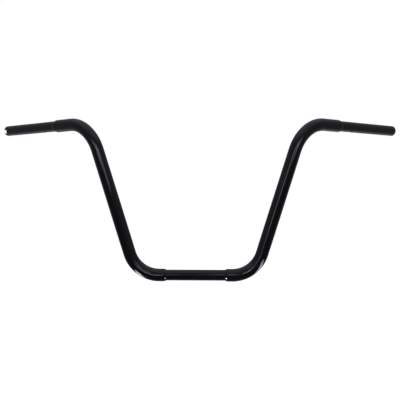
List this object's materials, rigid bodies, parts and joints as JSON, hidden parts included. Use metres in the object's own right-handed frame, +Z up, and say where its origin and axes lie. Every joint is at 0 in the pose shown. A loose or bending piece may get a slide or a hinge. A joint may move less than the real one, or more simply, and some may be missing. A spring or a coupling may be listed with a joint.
{
  "type": "ape hanger handlebar",
  "caption": "Tall motorcycle handlebar: a thin straight clamp stretch, thick tubes that bend up, out and back, and thin ends for the grips and controls.",
  "frame": {"origin": "middle of the clamp tube, on its axis", "axes": "+X along the clamp tube to the clutch side, +Y back to the rider, +Z up"},
  "size_m": [1.0125, 0.2467, 0.3856],
  "materials": {
    "gloss_black": "gloss"
  },
  "bodies": {
    "root": {"clamp_tube": "gloss_black", "throttle_side_riser": "gloss_black", "clutch_side_riser": "gloss_black", "throttle_side_grip_tube": "gloss_black", "clutch_side_grip_tube": "gloss_black"}
  },
  "joints": []
}
